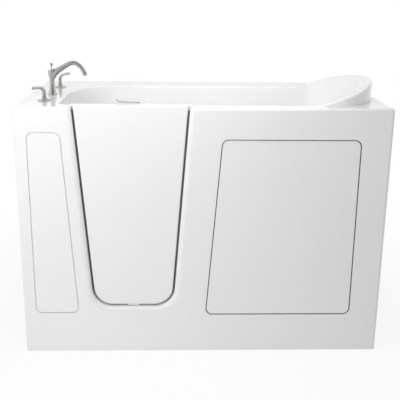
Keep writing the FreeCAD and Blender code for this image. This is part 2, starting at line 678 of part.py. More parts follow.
column = [
    (6.0, 0.0, 0.0, 1.0, 22.2), (6.0, 6.0, 0.0, 1.0, 19.0), (6.0, 22.0, 0.0, 1.0, 14.0),
    (6.0, 45.0, 0.0, 1.0, 11.2), (6.0, 62.0, 0.0, 1.0, 10.8), (5.0, 80.0, -0.05, 1.0, 12.4),
    (4.5, 96.0, -0.15, 1.0, 14.6), (5.0, 109.0, -0.27, 1.0, 16.4),
]
post = Part.makeLoft([circle_at(*st) for st in column], True, False)
arch = [
    (6.6, 52.0, 0.0, 1.0, 9.6), (8.6, 70.0, 0.22, 0.97, 10.6), (16.0, 88.0, 0.52, 0.85, 12.4),
    (27.5, 101.5, 0.72, 0.69, 12.9), (42.0, 112.0, 0.81, 0.58, 12.0), (59.0, 122.0, 0.86, 0.51, 10.9),
    (78.0, 133.0, 0.92, 0.38, 10.1), (96.5, 139.2, 1.0, 0.0, 9.8), (114.0, 135.5, 0.9, -0.43, 9.6),
    (130.0, 123.5, 0.72, -0.69, 9.3), (143.0, 105.0, 0.5, -0.87, 9.3), (150.5, 85.0, 0.38, -0.93, 9.6),
]
arm = Part.makeLoft([circle_at(*st) for st in arch], True, False)
spout = fuse([post, arm])
shank = rod((0, 0, -62.0), (0, 0, 0.5), 15.0).fuse(rod((0, 0, -95.0), (0, 0, -62.0), 18.0))
for s in (-1.0, 1.0):
    shank = shank.fuse(rod((0, 0, -81.0), (0, s * 34.0, -81.0), 9.0))
spout = fuse([spout, shank])
LIFT_DX = 6.0
spout = spout.cut(rod((LIFT_DX, 0, -120.0), (LIFT_DX, 0, 130.0), LIFT_R + RUN_FIT))
tip_dir = V(arch[-1][2], 0, arch[-1][3]).normalize()
tip = V(arch[-1][0], 0, arch[-1][1])
mouth = Part.makeCylinder(7.0, 8.0, tip - tip_dir * 8.0, tip_dir)
spout = spout.cut(mouth)
spout.Placement = FreeCAD.Placement(V(TAP_X, SPOUT_Y, DECK_Z), FreeCAD.Rotation())
save("spout", spout.Solids[0])
aer = Part.makeCylinder(7.0, 7.0, tip - tip_dir * 8.0, tip_dir)
for i in range(6):
    a = math.radians(60 * i)
    side = V(-tip_dir.z, 0, tip_dir.x)
    c = tip - tip_dir * 9.0 + side * (4.0 * math.cos(a)) + V(0, 4.0 * math.sin(a), 0)
    aer = aer.cut(Part.makeCylinder(1.2, 10.0, c, tip_dir))
aer.Placement = FreeCAD.Placement(V(TAP_X, SPOUT_Y, DECK_Z), FreeCAD.Rotation())
save("aerator", aer)
nuts.append(ring((TAP_X, SPOUT_Y, DECK_Z - WALL - 10.0), (TAP_X, SPOUT_Y, DECK_Z - WALL), 24.0, 15.0))
save("faucet_nuts", Part.makeCompound(nuts))
pipes = []
for y in TAP_YS:
    d = 1.0 if y < SPOUT_Y else -1.0
    za = DECK_Z - 81.0
    run = ring((TAP_X, y + d * 22.0, za), (TAP_X, SPOUT_Y - d * 20.0, za), 12.0, 9.0)
    pipes.append(run)
save("faucet_pipes", Part.makeCompound(pipes))
lx = TAP_X + LIFT_DX
lift = rod((lx, SPOUT_Y, DECK_Z - 130.0), (lx, SPOUT_Y, DECK_Z + 128.0), LIFT_R)
knob = turned([(0, 0), (LIFT_R + 0.4, 0), (5.4, 2.5), (6.8, 6), (6.6, 9.5), (4.8, 12.5), (0, 13.5)],
              (lx, SPOUT_Y, DECK_Z + 125.0), (0, 0, 1))
save("lift_rod", fuse([lift, knob]))

# Drain: floor fitting with pop-up stopper, tee, tailpiece and overflow
dx, dy, dz = DRAIN_AT[0]
drain = turned_at(DRAIN_AT, [(20, -45), (24, -45), (24, 0), (40, 0), (40, 1.5), (36, 3), (27, 3), (20, -2)])
spider = box(dx - 21.0, dx + 21.0, dy - 5.0, dy + 5.0, dz - 16.0, dz - 8.0)
spider = spider.cut(at(DRAIN_AT, -20.0, 0.0, STOPPER_R + RUN_FIT))
save("drain_body", drain.fuse(spider).removeSplitter())
save("drain_stopper", fuse([
    turned_at(DRAIN_AT, [(0, 3.3), (31, 3.3), (31, 5), (24, 8), (0, 9.5)]),
    at(DRAIN_AT, -34.0, 4.0, STOPPER_R),
]))
save("drain_nut", at(DRAIN_AT, -WALL - 10.0, -WALL, 36.0).cut(at(DRAIN_AT, -WALL - 10.0, -WALL, 24.0)))
side_z = dz - 65.0
tee = fuse([
    at(DRAIN_AT, -85.0, -38.0, 27.0),
    at(DRAIN_AT, -120.0, -85.0, TAIL_R),
    rod((dx, dy, side_z), (dx - 47.0, dy, side_z), 19.0),
])
tee = tee.cut(at(DRAIN_AT, -45.0, -37.0, 24.0)).cut(at(DRAIN_AT, -80.0, -45.0, 20.0))
tee = tee.cut(at(DRAIN_AT, -121.0, -80.0, 16.0)).cut(rod((dx, dy, side_z), (dx - 48.0, dy, side_z), PIPE_R))
save("drain_tee", tee)
ox = BASIN_LEFT - WALL - 28.0
path = [(dx - 30.0, dy, side_z), (ox, dy, side_z), (ox, dy, OVERFLOW_Z)]
overflow = fuse(pipe_run(path, PIPE_R) + [at(OVERFLOW_AT, -WALL - 44.0, -WALL, 24.0)])
overflow = overflow.cut(fuse(pipe_run(path, 13.5) + [at(OVERFLOW_AT, -WALL - 40.0, -WALL, 17.0)]))
save("overflow_pipe", overflow)
plate = turned_at(OVERFLOW_AT, [(0, 3), (36, 3), (36, 5), (32, 8), (0, 9)])
plate = plate.fuse(at(OVERFLOW_AT, -WALL, 3.0, 19.0).cut(at(OVERFLOW_AT, -WALL, 3.0, 15.0)))
save("overflow_plate", plate.removeSplitter())
lift_low = DECK_Z - 160.0
wire_z = side_z - 7.0
path = [(lx, SPOUT_Y, lift_low), (lx, SPOUT_Y, wire_z), (dx, MID_Y - 31.0, wire_z)]
bx = TAP_X + 18.0
bracket = [
    box(bx, bx + 3.0, SPOUT_Y - 8.0, SPOUT_Y + 8.0, lift_low - 8.0, DECK_Z - 66.0),
    box(lx - 8.0, bx + 3.0, SPOUT_Y - 8.0, SPOUT_Y + 8.0, lift_low - 8.0, lift_low - 5.0),
]
save("drain_conduit", fuse(pipe_run(path, 4.0) + bracket))

# Water jets: bodies, nuts, trim rings and turning nozzles
bodies = []
trims = []
nuts = []
for i, jet in enumerate(JETS):
    body = turned_at(jet, [
        (8, -WALL - 32), (26, -WALL - 32), (26, 0), (34, 0), (34, 3), (18, 3), (18, -20), (8, -20),
    ])
    c = V(*jet[0]) - V(*jet[1]) * JET_PORT
    for d in (-1.0, 1.0):
        body = body.cut(rod((c.x, c.y, c.z), (c.x, c.y, c.z + d * 30.0), 4.0))
    bodies.append(body)
    trims.append(turned_at(jet, [(19, 3), (34.5, 3), (34.5, 4), (32, 6), (22, 6.5), (19, 5)]))
    nuts.append(at(jet, -WALL - 9.0, -WALL, 35.0).cut(at(jet, -WALL - 9.0, -WALL, 26.0)))
    r = 18.0 - RUN_FIT
    nozzle = turned([(5, -17), (r, -17), (r, 2.5), (15, 5), (8, 5), (5, 1)], (0, 0, 0), (0, 0, 1))
    for k in (0, 180):
        lug = box(-1.8, 1.8, 9.0, 14.0, 4.0, 8.0)
        lug.rotate(V(0, 0, 0), V(0, 0, 1), k)
        nozzle = nozzle.fuse(lug)
    save("jet_nozzle_" + str(i + 1), placed(nozzle.removeSplitter(), jet[0], jet[1]))
save("jet_bodies", Part.makeCompound(bodies))
save("jet_trims", Part.makeCompound(trims))
save("jet_nuts", Part.makeCompound(nuts))

# Suction: wall fitting with a drilled cover and a straight pipe to the pump
fitting = turned_at(SUCTION_AT, [(22, -WALL - 32), (28, -WALL - 32), (28, 0), (43, 0), (43, 4), (22, 4)])
save("suction_fitting", fitting)
cover = turned_at(SUCTION_AT, [
    (0, 15), (20, 14), (36, 10.5), (42, 6), (42, 4), (38, 4), (34, 7.5), (20, 11), (0, 12),
])
for n, radius in ((6, 11.0), (12, 22.0), (18, 32.0)):
    for i in range(n):
        a = 2 * math.pi * i / n
        hole = Part.makeCylinder(2.2, 30.0, V(radius * math.cos(a), radius * math.sin(a), 0))
        cover = cover.cut(placed(hole, SUCTION_AT[0], SUCTION_AT[1]))
save("suction_cover", cover)
suction_nut = at(SUCTION_AT, -WALL - 10.0, -WALL, 38.0)
save("suction_nut", suction_nut.cut(at(SUCTION_AT, -WALL - 10.0, -WALL, 28.0)))
pipe_in = NOSE_X + 14.0
inlet_x = PUMP_X - 38.0
save("suction_pipe", ring((pipe_in, MID_Y, PUMP_Z), (inlet_x, MID_Y, PUMP_Z), 22.0, 19.0))


# Pump: wet end, turning impeller and shaft, motor and base
def along_x(x0, x1, r, y=MID_Y, z=PUMP_Z):
    return rod((PUMP_X + x0, y, z), (PUMP_X + x1, y, z), r)


out_y = MID_Y + 52.0
volute = fuse([
    along_x(-25, 25, 78.0),
    along_x(-50, -25, 28.0),
    rod((PUMP_X, out_y, PUMP_Z), (PUMP_X, out_y, PUMP_Z + 105.0), 20.0),
])
volute = volute.cut(along_x(-18, 18, 64.0)).cut(along_x(-38, -18, 19.0)).cut(along_x(-51, -38, 22.0))
volute = volute.cut(along_x(0, 30, SHAFT_R + RUN_FIT))
volute = volute.cut(rod((PUMP_X, out_y, PUMP_Z), (PUMP_X, out_y, PUMP_Z + 90.0), 11.0))
volute = volute.cut(rod((PUMP_X, out_y, PUMP_Z + 90.0), (PUMP_X, out_y, PUMP_Z + 106.0), WATER_R))
save("pump_wet_end", volute)
blades = [along_x(2, 8, 58.0), along_x(-10, 12, 16.0), along_x(-10, 62, SHAFT_R)]
for i in range(6):
    blade = box(PUMP_X - 9.0, PUMP_X + 3.0, MID_Y + 12.0, MID_Y + 57.0, PUMP_Z - 2.0, PUMP_Z + 2.0)
    blade.rotate(V(PUMP_X, MID_Y, PUMP_Z), V(1, 0, 0), 60.0 * i)
    blades.append(blade)
save("pump_impeller", fuse(blades))
motor = fuse([along_x(25, 205, 68.0), along_x(205, 235, 60.0)])
for i in range(9):
    x = 50.0 + 15.0 * i
    motor = motor.cut(along_x(x, x + 7.0, 70.0).cut(along_x(x, x + 7.0, 63.0)))
terminal = box(PUMP_X + 85.0, PUMP_X + 165.0, MID_Y - 36.0, MID_Y + 36.0, PUMP_Z + 50.0, PUMP_Z + 105.0)
gland_z = PUMP_Z + 85.0
gland_x = PUMP_X + 110.0
gland = rod((gland_x, MID_Y + 36.0, gland_z), (gland_x, MID_Y + 54.0, gland_z), 11.0)
motor = fuse([motor, terminal, gland])
motor = motor.cut(rod((gland_x, MID_Y + 30.0, gland_z), (gland_x, MID_Y + 55.0, gland_z), GLAND_R))
motor = motor.cut(along_x(24, 66, SHAFT_R + RUN_FIT))
save("pump_motor", motor)
base = box(PUMP_X + 45.0, PUMP_X + 165.0, RAIL_YS[0] - 12.0, RAIL_YS[1] + 12.0, RAIL_TOP, RAIL_TOP + 4.0)
saddle = box(PUMP_X + 50.0, PUMP_X + 160.0, MID_Y - 48.0, MID_Y + 48.0, RAIL_TOP + 4.0, PUMP_Z - 44.0)
save("pump_base", fuse([base, saddle]).cut(along_x(40, 170, 68.0)))

# Plumbing: water manifold and air manifold to every jet
front_y = BASIN_FRONT - JET_PORT
back_y = BASIN_BACK + JET_PORT
calf_x = NOSE_X + JET_PORT
cross_z = SEAT_Z - 80.0
drop_x = calf_x + 30.0


def manifold(r, joint, runs, stubs):
    items = []
    for run in runs:
        items += pipe_run(run, r, joint)
        items += [Part.makeSphere(r * joint, V(*run[0])), Part.makeSphere(r * joint, V(*run[-1]))]
    items += [rod(a, b, r * 0.6) for a, b in stubs]
    solid = items[0]
    for item in items[1:]:
        solid = solid.fuse(item)
    return solid


def jet_stubs(dz):
    out = []
    for pos, axis in JETS:
        c = V(*pos) - V(*axis) * JET_PORT
        out.append(((c.x, c.y, c.z + dz), (c.x, c.y, c.z)))
    return out


zw = JET_Z - 50.0
cw = CALF_Z - 50.0
runs = [
    [(PUMP_X, out_y, PUMP_Z + 125.0), (PUMP_X, out_y, cross_z)],
    [(PUMP_X, front_y, zw), (PUMP_X, front_y, cross_z), (PUMP_X, back_y, cross_z), (PUMP_X, back_y, zw)],
    [(JET_X[0], front_y, zw), (JET_X[1], front_y, zw)],
    [(JET_X[0], back_y, zw), (JET_X[1], back_y, zw)],
    [(PUMP_X, out_y, cross_z), (drop_x, out_y, cross_z), (drop_x, out_y, cw), (calf_x, out_y, cw)],
    [(calf_x, MID_Y - CALF_DY, cw), (calf_x, MID_Y + CALF_DY, cw)],
]
jets_solid = Part.makeCompound([at(j, -WALL - 32.0, 0.0, 26.0) for j in JETS])
water = manifold(WATER_R, 1.18, runs, jet_stubs(-50.0))
water = water.fuse(rod((PUMP_X, out_y, PUMP_Z + 90.0), (PUMP_X, out_y, PUMP_Z + 125.0), WATER_R))
void = manifold(WATER_R - 3.0, 1.1, runs, jet_stubs(-50.0))
void = void.fuse(rod((PUMP_X, out_y, PUMP_Z + 89.0), (PUMP_X, out_y, PUMP_Z + 125.0), WATER_R - 3.0))
save("water_manifold", water.cut(void).cut(jets_solid))

za = JET_Z + 48.0
ca = CALF_Z + 48.0
link_x = JET_X[1] + 50.0
link_z = cross_z - 45.0
link_y = MID_Y - 60.0
runs = [
    [(JET_X[1], front_y, za), (JET_X[1], front_y, CONTROL_Z - 10.0)],
    [(JET_X[0], front_y, za), (link_x, front_y, za), (link_x, front_y, link_z), (link_x, back_y, link_z),
     (link_x, back_y, za), (JET_X[0], back_y, za)],
    [(link_x, link_y, link_z), (calf_x, link_y, link_z), (calf_x, link_y, ca)],
    [(calf_x, MID_Y - CALF_DY, ca), (calf_x, MID_Y + CALF_DY, ca)],
]
air = manifold(AIR_R, 1.18, runs, jet_stubs(48.0))
void = manifold(AIR_R - 2.0, 1.1, runs, jet_stubs(48.0))
control_solid = at(AIR_AT, -40.0, 0.0, 16.5)
save("air_manifold", air.cut(void).cut(jets_solid).cut(control_solid))

# Controls on the front wall, within the bather's reach: air-flow knob and air switch button
body = turned_at(AIR_AT, [(0, -38), (16.5, -38), (16.5, 0), (26, 0), (26, 2.5), (24, 4), (0, 4)])
body = body.cut(at(AIR_AT, -22.0, 5.0, 5.0 + RUN_FIT))
save("air_control_body", body)
knob = turned_at(AIR_AT, [(0, 4.3), (22, 4.3), (22, 15), (20, 18), (0, 18)])
for i in range(12):
    a = math.radians(30 * i)
    flute = Part.makeCylinder(2.5, 20.0, V(23.2 * math.cos(a), 23.2 * math.sin(a), 3.0))
    knob = knob.cut(placed(flute, AIR_AT[0], AIR_AT[1]))
pointer = box(-1.2, 1.2, 6.0, 18.0, 18.0, 19.2)
save("air_control_knob", fuse([knob, at(AIR_AT, -20.0, 5.0, 5.0), placed(pointer, AIR_AT[0], AIR_AT[1])]))
bezel = turned_at(BUTTON_AT, [
    (0, -38), (16.5, -38), (16.5, 0), (24, 0), (24, 2.5), (22, 4), (BUTTON_R + RUN_FIT, 4),
    (BUTTON_R + RUN_FIT, -30), (0, -30),
])
save("air_button_bezel", bezel)
save("air_button", turned_at(BUTTON_AT, [(0, -12), (BUTTON_R, -12), (BUTTON_R, 7), (11, 8.5), (0, 9.5)]))
rings = [at(p, -WALL - 8.0, -WALL, 24.0).cut(at(p, -WALL - 8.0, -WALL, 16.5)) for p in (AIR_AT, BUTTON_AT)]
save("control_nuts", Part.makeCompound(rings))
bx, by, bz = BUTTON_AT[0]
hx = bx + 75.0
hy = FRONT + 22.0
hz = PUMP_Z + 80.0
tx = PUMP_X + 130.0
path = [(bx, by - 38.0, bz), (bx, hy, bz), (hx, hy, bz), (hx, hy, hz), (tx, hy, hz), (tx, MID_Y - 36.0, hz)]
save("air_switch_tube", fuse(pipe_run(path, 3.0)))

# Support frame: square tubes welded under the deck, the seat and the foot well
h = TUBE / 2
low = RAIL_TOP - TUBE
seat_low = SEAT_Z - WALL - TUBE
top_low = DECK_Z - WALL - TUBE


def square_tube(p, q):
    lo = [min(a, b) for a, b in zip(p, q)]
    hi = [max(a, b) for a, b in zip(p, q)]
    run = max(range(3), key=lambda i: hi[i] - lo[i])
    bore_lo = list(lo)
    bore_hi = list(hi)
    for i in range(3):
        if i != run:
            lo[i] -= h
            hi[i] += h
            bore_lo[i] -= h - TUBE_T
            bore_hi[i] += h - TUBE_T
    solid = box(lo[0], hi[0], lo[1], hi[1], lo[2], hi[2])
    return solid.cut(box(bore_lo[0], bore_hi[0], bore_lo[1], bore_hi[1], bore_lo[2], bore_hi[2]))


tubes = []
for y in RAIL_YS:
    rail = square_tube((-POST_X + h, y, low + h), (POST_X - h, y, low + h))
    for x in FOOT_XS:
        rail = rail.cut(rod((x, y, low - 1.0), (x, y, low + TUBE_T + 1.0), STUD_R))
    tubes.append(rail)
for x in (-POST_X, POST_X):
    for z in (low + h, top_low + h):
        tubes.append(square_tube((x, POST_YS[0] - h, z), (x, POST_YS[1] + h, z)))
    for y in POST_YS:
        tubes.append(square_tube((x, y, RAIL_TOP), (x, y, top_low)))
tubes.append(square_tube((CROSS_X, RAIL_YS[0] + h, low + h), (CROSS_X, RAIL_YS[1] - h, low + h)))
for x in SEAT_RAIL_XS:
    tubes.append(square_tube((x, RAIL_YS[0] - h, seat_low + h), (x, RAIL_YS[1] + h, seat_low + h)))
    for y in RAIL_YS:
        tubes.append(square_tube((x, y, RAIL_TOP), (x, y, seat_low)))
save("support_frame", Part.makeCompound(tubes))

# Levelling feet and their lock nuts
stud_top = low + 20.0
foot_profile = [
    (0, 0), (30, 0), (32, 3), (30, 7), (14, 12), (STUD_R, 16), (STUD_R, stud_top), (0, stud_top),
]
feet = []
locks = []
for x in FOOT_XS:
    for y in RAIL_YS:
        feet.append(turned(foot_profile, (x, y, 0.0), (0, 0, 1)))
        hexagon = []
        for i in range(6):
            a = math.radians(60 * i)
            hexagon.append(V(x + 15.0 * math.cos(a), y + 15.0 * math.sin(a), low - 13.0))
        nut = Part.Face(Part.makePolygon(hexagon + [hexagon[0]])).extrude(V(0, 0, 13.0))
        locks.append(nut.cut(rod((x, y, low - 14.0), (x, y, low + 1.0), STUD_R)))
save("levelling_feet", Part.makeCompound(feet))
save("foot_nuts", Part.makeCompound(locks))
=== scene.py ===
import math

import bmesh
import bpy
from mathutils import Matrix, Vector


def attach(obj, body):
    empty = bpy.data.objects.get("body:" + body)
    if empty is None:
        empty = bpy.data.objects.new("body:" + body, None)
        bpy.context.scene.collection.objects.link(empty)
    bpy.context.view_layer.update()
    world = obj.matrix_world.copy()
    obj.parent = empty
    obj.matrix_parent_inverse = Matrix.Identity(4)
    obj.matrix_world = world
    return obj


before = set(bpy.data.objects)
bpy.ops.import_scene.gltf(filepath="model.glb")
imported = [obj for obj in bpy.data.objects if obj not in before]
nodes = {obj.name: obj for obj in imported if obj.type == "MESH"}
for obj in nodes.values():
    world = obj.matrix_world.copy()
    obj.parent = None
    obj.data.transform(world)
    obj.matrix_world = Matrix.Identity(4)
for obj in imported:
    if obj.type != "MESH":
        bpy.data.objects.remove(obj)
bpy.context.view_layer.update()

# Tub shell: deck, basin, seat and headrest in one moulding. White gel-coat is sprayed into a polished
# mould and backed with chopped glass mat in polyester resin, so the hidden side shows raw fibreglass.


def linear(colour):
    parts = [int(colour[i:i + 2], 16) / 255 for i in (1, 3, 5)]
    return [c / 12.92 if c <= 0.04045 else ((c + 0.055) / 1.055) ** 2.4 for c in parts] + [1.0]


def add(tree, kind, links=None, **settings):
    made = tree.nodes.new(kind)
    for name, value in settings.items():
        setattr(made, name, value)
    for key, value in (links or {}).items():
        if isinstance(value, bpy.types.NodeSocket):
            tree.links.new(value, made.inputs[key])
        else:
            made.inputs[key].default_value = value
    return made


def finish(name, colour, **values):
    material = bpy.data.materials.new(name)
    material.use_nodes = True
    tree = material.node_tree
    shader = tree.nodes["Principled BSDF"]
    shader.inputs["Base Color"].default_value = linear(colour)
    for socket, value in values.items():
        shader.inputs[socket.replace("_", " ")].default_value = value
    where = add(tree, "ShaderNodeTexCoord").outputs["Object"]
    material.diffuse_color = linear(colour)
    return material, tree, shader, where


def dress(material, *names):
    for name in names:
        nodes[name].data.materials.clear()
        nodes[name].data.materials.append(material)


# Polished gel-coat: a hard clear gloss over a slow ripple, about 30 mm from crest to crest
gelcoat, tree, shader, where = finish(
    "gelcoat", "#f5f5f5", Roughness=0.14, IOR=1.52, Coat_Weight=0.5, Coat_Roughness=0.05)
slow = add(tree, "ShaderNodeTexNoise", {"Vector": where, "Scale": 1.4, "Detail": 2.0})
tint = add(tree, "ShaderNodeMix", {
    "Factor": slow.outputs["Fac"], "A": linear("#f7f7f7"), "B": linear("#f2f2f2"),
}, data_type="RGBA")
tree.links.new(tint.outputs["Result"], shader.inputs["Base Color"])
ripple = add(tree, "ShaderNodeTexNoise", {"Vector": where, "Scale": 33.0, "Detail": 1.0})
peel = add(tree, "ShaderNodeBump", {"Height": ripple.outputs["Fac"], "Strength": 0.05, "Distance": 0.002})
tree.links.new(peel.outputs["Normal"], shader.inputs["Normal"])

# Chopped glass mat: pale strands about 40 mm long and 1 mm wide, crossed in amber-grey resin.
# The strands are drawn 4 mm wide so that they show.
glass_mat, tree, shader, where = finish("glass_mat", "#c9c4aa", Roughness=0.42, IOR=1.55)
strands = None
for turn in ((0.3, 0.5, 0.2), (1.2, 0.1, 1.0), (0.2, 1.3, 2.1), (0.9, 0.8, 2.9)):
    laid = add(tree, "ShaderNodeMapping", {"Vector": where, "Rotation": turn, "Scale": (26.0, 240.0, 240.0)})
    strand = add(tree, "ShaderNodeTexNoise", {"Vector": laid.outputs["Vector"], "Scale": 1.0, "Detail": 1.0})
    if strands is None:
        strands = strand.outputs["Fac"]
    else:
        upper = add(tree, "ShaderNodeMath", {0: strands, 1: strand.outputs["Fac"]}, operation="MAXIMUM")
        strands = upper.outputs[0]
ramp = add(tree, "ShaderNodeValToRGB", {"Fac": strands})
ramp.color_ramp.elements[0].position = 0.52
ramp.color_ramp.elements[0].color = linear("#b3ab88")
ramp.color_ramp.elements[1].position = 0.72
ramp.color_ramp.elements[1].color = linear("#dcd8c4")
tree.links.new(ramp.outputs["Color"], shader.inputs["Base Color"])
fibre = add(tree, "ShaderNodeBump", {"Height": strands, "Strength": 0.5, "Distance": 0.001})
tree.links.new(fibre.outputs["Normal"], shader.inputs["Normal"])

# Gel-coat covers the deck, its outer rim, the edges of the door opening and the inside of the basin;
# every other face of the shell is bare mat. These limits, in metres, tell the faces apart.
DECK = 1.067
DECK_TOP = DECK - 0.004
DECK_UNDERSIDE = DECK - 0.0095
RIM_HALF = (0.7535, 0.398)
DOOR_X = -0.296
DOOR_REACH = 0.3
FRONT_WALL_Y = -0.33
DOOR_HEAD = 1.05
MID_Y = -0.049
BASIN_X = (-0.6, 0.73)
BASIN_Y = (-0.338, 0.24)
FOOT_WELL_X = -0.431
SEAT_BACK = (0.2, 0.52)
RECLINE = 0.36
dress(gelcoat, "tub_shell")
shell = nodes["tub_shell"].data
shell.materials.append(glass_mat)


def faces_bather(face):
    c = face.center
    n = face.normal
    if c.z > DECK_TOP or abs(c.x) > RIM_HALF[0] or abs(c.y) > RIM_HALF[1]:
        return not (n.z < -0.9 and c.z < DECK)
    if c.z > DECK_UNDERSIDE and n.z < -0.5:
        return False
    if c.y < FRONT_WALL_Y and abs(c.x - DOOR_X) < DOOR_REACH and (abs(n.y) < 0.5 or c.z > DOOR_HEAD):
        return True
    if BASIN_Y[0] < c.y < BASIN_Y[1] and BASIN_X[0] < c.x < BASIN_X[1]:
        if abs(n.z) > 0.6:
            return n.z > 0
        back_x = SEAT_BACK[0] + RECLINE * (c.z - SEAT_BACK[1])
        middle_x = min(max(c.x, FOOT_WELL_X), back_x)
        return n.x * (middle_x - c.x) + n.y * (MID_Y - c.y) + n.z * 0.05 > 0
    return False


for face in shell.polygons:
    face.material_index = 0 if faces_bather(face) else 1

# Slip-resistant floor of the foot well: staggered rows of low round studs, 8 mm across, that are
# moulded with the shell in the same gel-coat and keep clear of the drain.


def new_tree(name, **sizes):
    tree = bpy.data.node_groups.new(name, "GeometryNodeTree")
    tree.interface.new_socket("Geometry", in_out="INPUT", socket_type="NodeSocketGeometry")
    for label, value in sizes.items():
        kind = "NodeSocketInt" if isinstance(value, int) else "NodeSocketFloat"
        if isinstance(value, tuple):
            kind = "NodeSocketVector"
        tree.interface.new_socket(label, in_out="INPUT", socket_type=kind)
    tree.interface.new_socket("Geometry", in_out="OUTPUT", socket_type="NodeSocketGeometry")
    return tree, add(tree, "NodeGroupInput").outputs


def close_tree(tree, instances, material):
    real = add(tree, "GeometryNodeRealizeInstances", {"Geometry": instances})
    painted = add(tree, "GeometryNodeSetMaterial", {"Geometry": real.outputs[0], "Material": material})
    add(tree, "NodeGroupOutput", {"Geometry": painted.outputs[0]})


def grow(name, tree, mesh, body, slot, smooth, **sizes):
    piece = bpy.data.objects.new(name, mesh)
    bpy.context.scene.collection.objects.link(piece)
    grower = piece.modifiers.new(name, "NODES")
    grower.node_group = tree
    for socket in tree.interface.items_tree:
        if socket.name in sizes:
            grower[socket.identifier] = sizes[socket.name]
    grown = bpy.data.meshes.new_from_object(piece.evaluated_get(bpy.context.evaluated_depsgraph_get()))
    piece.modifiers.clear()
    piece.data = grown
    grown.name = name
    grown.polygons.foreach_set("use_smooth", [smooth] * len(grown.polygons))
    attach(piece, body)


FLOOR_Z = 0.1298
stud_field = {
    "Length": 0.47, "Width": 0.44, "Columns": 33, "Rows": 37, "Centre": (-0.27, -0.066, FLOOR_Z),
    "Drain": (-0.47, MID_Y, FLOOR_Z), "Clear": 0.056, "Foot": 0.004, "Crown": 0.0027, "Height": 0.0013,
}
tree, size = new_tree("stud_field", **stud_field)
grid = add(tree, "GeometryNodeMeshGrid", {
    "Size X": size["Length"], "Size Y": size["Width"],
    "Vertices X": size["Columns"], "Vertices Y": size["Rows"],
})
spot = add(tree, "GeometryNodeInputPosition").outputs["Position"]
across = add(tree, "ShaderNodeSeparateXYZ", {0: spot}).outputs["Y"]
rows = add(tree, "ShaderNodeMath", {0: size["Rows"], 1: 1.0}, operation="SUBTRACT").outputs[0]
share = add(tree, "ShaderNodeMath", {0: across, 1: size["Width"]}, operation="DIVIDE").outputs[0]
row = add(tree, "ShaderNodeMath", {0: share, 1: rows}, operation="MULTIPLY").outputs[0]
row = add(tree, "ShaderNodeMath", {0: row}, operation="ROUND").outputs[0]
odd = add(tree, "ShaderNodeMath", {0: row, 1: 2.0}, operation="FLOORED_MODULO").outputs[0]
half = add(tree, "ShaderNodeMath", {0: size["Columns"], 1: 2.0}, operation="MULTIPLY").outputs[0]
half = add(tree, "ShaderNodeMath", {0: size["Length"], 1: half}, operation="DIVIDE").outputs[0]
stagger = add(tree, "ShaderNodeMath", {0: odd, 1: half}, operation="MULTIPLY").outputs[0]
shift = add(tree, "ShaderNodeCombineXYZ", {"X": stagger}).outputs[0]
placed = add(tree, "ShaderNodeVectorMath", {0: size["Centre"], 1: shift}, operation="ADD").outputs[0]
laid = add(tree, "GeometryNodeSetPosition", {"Geometry": grid.outputs["Mesh"], "Offset": placed}).outputs[0]
away = add(tree, "ShaderNodeVectorMath", {0: spot, 1: size["Drain"]}, operation="DISTANCE").outputs["Value"]
close = add(tree, "ShaderNodeMath", {0: away, 1: size["Clear"]}, operation="LESS_THAN").outputs[0]
kept = add(tree, "GeometryNodeDeleteGeometry", {"Geometry": laid, "Selection": close}).outputs[0]
stud = add(tree, "GeometryNodeMeshCone", {
    "Vertices": 10, "Radius Top": size["Crown"], "Radius Bottom": size["Foot"], "Depth": size["Height"],
}).outputs["Mesh"]
studs = add(tree, "GeometryNodeInstanceOnPoints", {"Points": kept, "Instance": stud}).outputs[0]
close_tree(tree, studs, gelcoat)
blank = bpy.data.meshes.new("floor_studs")
grow("floor_studs", tree, blank, "tub", "gelcoat_white", False, **stud_field)

# Front apron, door surround and access panels: the same gel-coat moulding, trimmed and bonded to the
# shell; the panels press into ledged openings on black sprung clips.
dress(gelcoat, "front_apron", "door_frame", "left_access_panel", "right_access_panel")

# Injection-moulded nylon: near black, with the satin grain of a spark-eroded mould. The grain is drawn
# about 1.4 mm wide so that it shows.
nylon, tree, shader, where = finish("black_nylon", "#2b2c2e", Roughness=0.46, IOR=1.53)
grain = add(tree, "ShaderNodeTexNoise", {"Vector": where, "Scale": 700.0, "Detail": 2.0})
satin = add(tree, "ShaderNodeBump", {"Height": grain.outputs["Fac"], "Strength": 0.25, "Distance": 0.0002})
tree.links.new(satin.outputs["Normal"], shader.inputs["Normal"])
dress(nylon, "panel_clips")

# Painted shade: a charcoal colour, with pores of about 1 mm in its bump, on the ledge behind the pump's
# panel, so that the joint round that panel reads as a dark line of shade.
PANEL_LEDGE_Y = -0.4005
LEDGE_SLACK = 0.0004
groove_shade, tree, shader, where = finish("painted_groove_shade", "#3f4041", Roughness=0.85, IOR=1.45)
pits = add(tree, "ShaderNodeTexVoronoi", {"Vector": where, "Scale": 900.0})
torn = add(tree, "ShaderNodeBump", {"Height": pits.outputs["Distance"], "Strength": 0.5, "Distance": 0.0005})
tree.links.new(torn.outputs["Normal"], shader.inputs["Normal"])
apron = nodes["front_apron"].data
apron.materials.append(groove_shade)
# Painted shade: the ledge faces behind the pump's panel take the charcoal colour.
for face in apron.polygons:
    on_ledge = abs(face.center.y - PANEL_LEDGE_Y) < LEDGE_SLACK and face.normal.y < -0.9
    face.material_index = 1 if on_ledge and face.center.x > 0.0 else 0

# Door: an outer and an inner gel-coat moulding round a foam core, with a bulb seal that the water
# presses against the frame.
dress(gelcoat, "door_skin", "door_liner")

# Rigid polyurethane foam: straw-coloured closed cells, about 2 mm, cut open at the surface
foam, tree, shader, where = finish("door_foam", "#dccf9f", Roughness=0.9, IOR=1.4)
cells = add(tree, "ShaderNodeTexVoronoi", {"Vector": where, "Scale": 450.0})
pores = add(tree, "ShaderNodeBump", {
    "Height": cells.outputs["Distance"], "Strength": 0.6, "Distance": 0.001,
})
tree.links.new(pores.outputs["Normal"], shader.inputs["Normal"])
dress(foam, "door_core")
